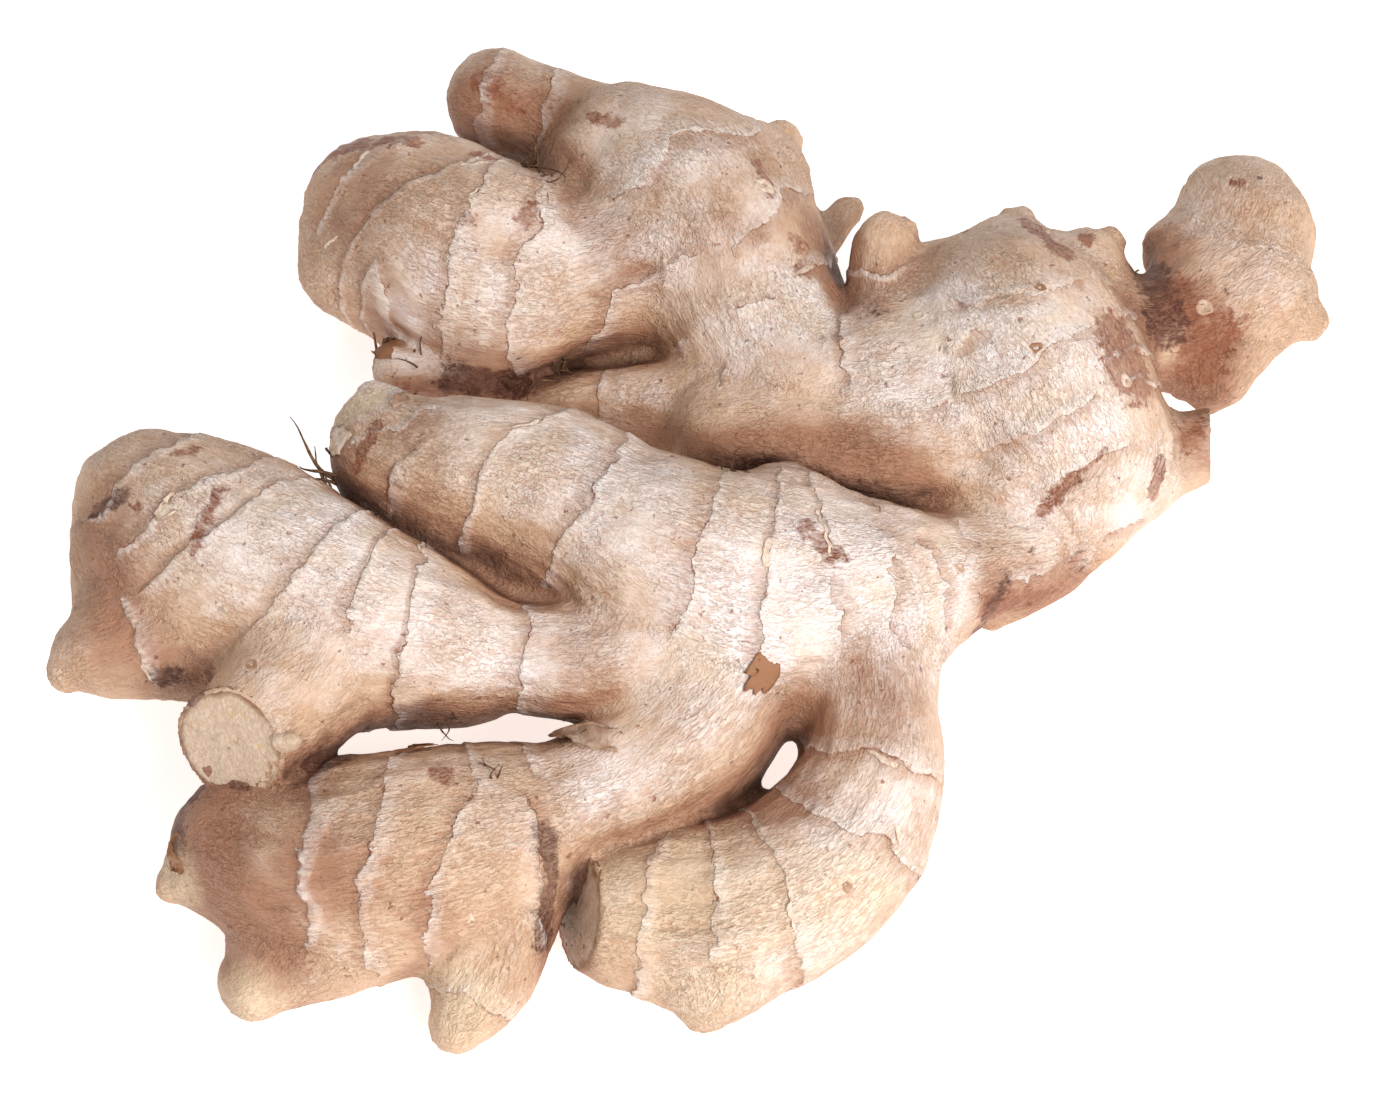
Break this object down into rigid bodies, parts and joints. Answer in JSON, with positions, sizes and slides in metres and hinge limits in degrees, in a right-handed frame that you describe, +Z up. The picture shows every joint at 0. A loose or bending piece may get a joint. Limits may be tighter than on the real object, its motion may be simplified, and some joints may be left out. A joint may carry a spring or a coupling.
{
  "type": "ginger root",
  "caption": "Whole fresh ginger rhizome with stubby forked fingers, ringed leaf scars and dry papery skin, lying flat.",
  "frame": {"origin": "centre of the footprint's bounding rectangle, on the table that the hand lies on", "axes": "+Z up from the table, +X along the hand's length from the club end to the far ball, +Y from the front fingers to the back"},
  "size_m": [0.1764, 0.154, 0.0389],
  "materials": {
    "skin": "thin matt papery skin with a faint silky sheen",
    "flesh": "dried fibrous cut face",
    "husk": "dry ragged leaf remains",
    "rootlet": "dry hair roots"
  },
  "bodies": {
    "root": {"rhizome": "skin"}
  },
  "joints": []
}
